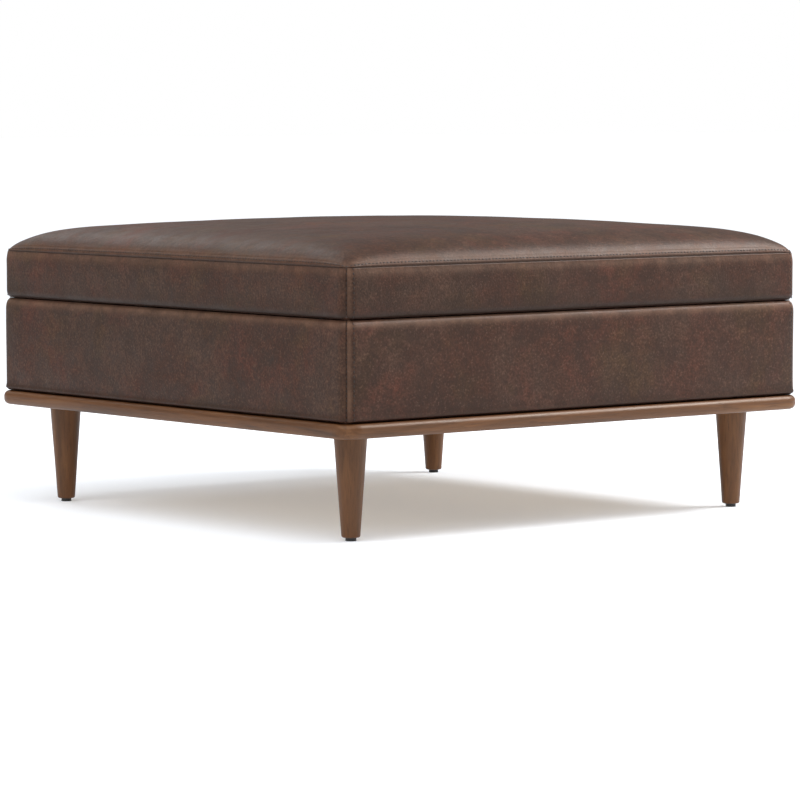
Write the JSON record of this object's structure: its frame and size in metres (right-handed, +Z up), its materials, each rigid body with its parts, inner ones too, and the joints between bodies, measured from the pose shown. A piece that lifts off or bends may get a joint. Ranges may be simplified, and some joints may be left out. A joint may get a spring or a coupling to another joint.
{
  "type": "storage ottoman",
  "caption": "Square storage ottoman: leather-covered box on a thin rounded wood base with turned tapered legs, closed by a hinged lid with a crowned cushion.",
  "frame": {"origin": "on the floor, under the middle of the base", "axes": "+Z up, +X to the right, -Y towards the front; the lid's hinges are along the back, at +Y"},
  "size_m": [0.914, 0.914, 0.457],
  "materials": {
    "brown_leather": "satin",
    "walnut_wood": "satin",
    "board_wood": "matte",
    "foam": "matte",
    "lining_cloth": "matte",
    "hinge_steel": "satin",
    "stay_steel": "satin",
    "screw_steel": "satin",
    "glide_plastic": "matte",
    "bumper_rubber": "matte"
  },
  "bodies": {
    "box": {"base_rail_front": "walnut_wood", "base_rail_right": "walnut_wood", "base_rail_back": "walnut_wood", "base_rail_left": "walnut_wood", "base_cross_rail": "board_wood", "corner_block_front_left": "board_wood", "corner_block_front_right": "board_wood", "corner_block_back_left": "board_wood", "corner_block_back_right": "board_wood", "base_dowels": "board_wood", "leg_front_left": "walnut_wood", "leg_front_right": "walnut_wood", "leg_back_left": "walnut_wood", "leg_back_right": "walnut_wood", "leg_hanger_bolts": "screw_steel", "leg_tee_nuts": "screw_steel", "leg_glides": "glide_plastic", "box_front_panel": "board_wood", "box_back_panel": "board_wood", "box_left_panel": "board_wood", "box_right_panel": "board_wood", "box_bottom_board": "board_wood", "box_panel_screws": "screw_steel", "base_to_box_screws": "screw_steel", "box_padding": "foam", "box_cover_front": "brown_leather", "box_cover_right": "brown_leather", "box_cover_back": "brown_leather", "box_cover_left": "brown_leather", "wall_lining": "lining_cloth", "floor_lining": "lining_cloth", "lid_bumpers": "bumper_rubber", "hinge_left_box_leaf": "hinge_steel", "hinge_centre_box_leaf": "hinge_steel", "hinge_right_box_leaf": "hinge_steel", "hinge_pins": "hinge_steel", "hinge_box_screws": "screw_steel", "stay_left_box_bracket": "stay_steel", "stay_right_box_bracket": "stay_steel", "stay_box_rivets": "stay_steel", "stay_box_screws": "screw_steel"},
    "lid": {"lid_board": "board_wood", "lid_foam": "foam", "lid_top_panel": "brown_leather", "lid_boxing": "brown_leather", "lid_lining": "lining_cloth", "hinge_left_lid_leaf": "hinge_steel", "hinge_centre_lid_leaf": "hinge_steel", "hinge_right_lid_leaf": "hinge_steel", "hinge_lid_screws": "screw_steel", "stay_left_lid_bracket": "stay_steel", "stay_right_lid_bracket": "stay_steel", "stay_lid_rivets": "stay_steel", "stay_lid_screws": "screw_steel"},
    "stay_left_box_arm": {"stay_left_box_arm": "stay_steel", "stay_left_elbow_rivet": "stay_steel"},
    "stay_right_box_arm": {"stay_right_box_arm": "stay_steel", "stay_right_elbow_rivet": "stay_steel"},
    "stay_left_lid_arm": {"stay_left_lid_arm": "stay_steel"},
    "stay_right_lid_arm": {"stay_right_lid_arm": "stay_steel"}
  },
  "joints": [
    {"name": "lid_hinge", "type": "hinge", "parent": "box", "child": "lid", "pos_m": [0, 0.4525, 0.327], "axis": [-1, 0, 0], "range_deg": [0, 88]},
    {"name": "stay_left_box_pivot", "type": "hinge", "parent": "box", "child": "stay_left_box_arm", "pos_m": [-0.42475, 0.3825, 0.225], "axis": [-1, 0, 0], "range_deg": [0, 88]},
    {"name": "stay_left_lid_pivot", "type": "hinge", "parent": "lid", "child": "stay_left_lid_arm", "pos_m": [-0.42175, 0.3025, 0.311], "axis": [-1, 0, 0], "range_deg": [-88, 0]},
    {"name": "stay_right_box_pivot", "type": "hinge", "parent": "box", "child": "stay_right_box_arm", "pos_m": [0.42475, 0.3825, 0.225], "axis": [-1, 0, 0], "range_deg": [0, 88]},
    {"name": "stay_right_lid_pivot", "type": "hinge", "parent": "lid", "child": "stay_right_lid_arm", "pos_m": [0.42175, 0.3025, 0.311], "axis": [-1, 0, 0], "range_deg": [-88, 0]}
  ],
  "couplings": [
    {"joint": "stay_left_box_pivot", "follows": "lid_hinge", "ratio": 1},
    {"joint": "stay_left_lid_pivot", "follows": "lid_hinge", "ratio": -1},
    {"joint": "stay_right_box_pivot", "follows": "lid_hinge", "ratio": 1},
    {"joint": "stay_right_lid_pivot", "follows": "lid_hinge", "ratio": -1}
  ]
}
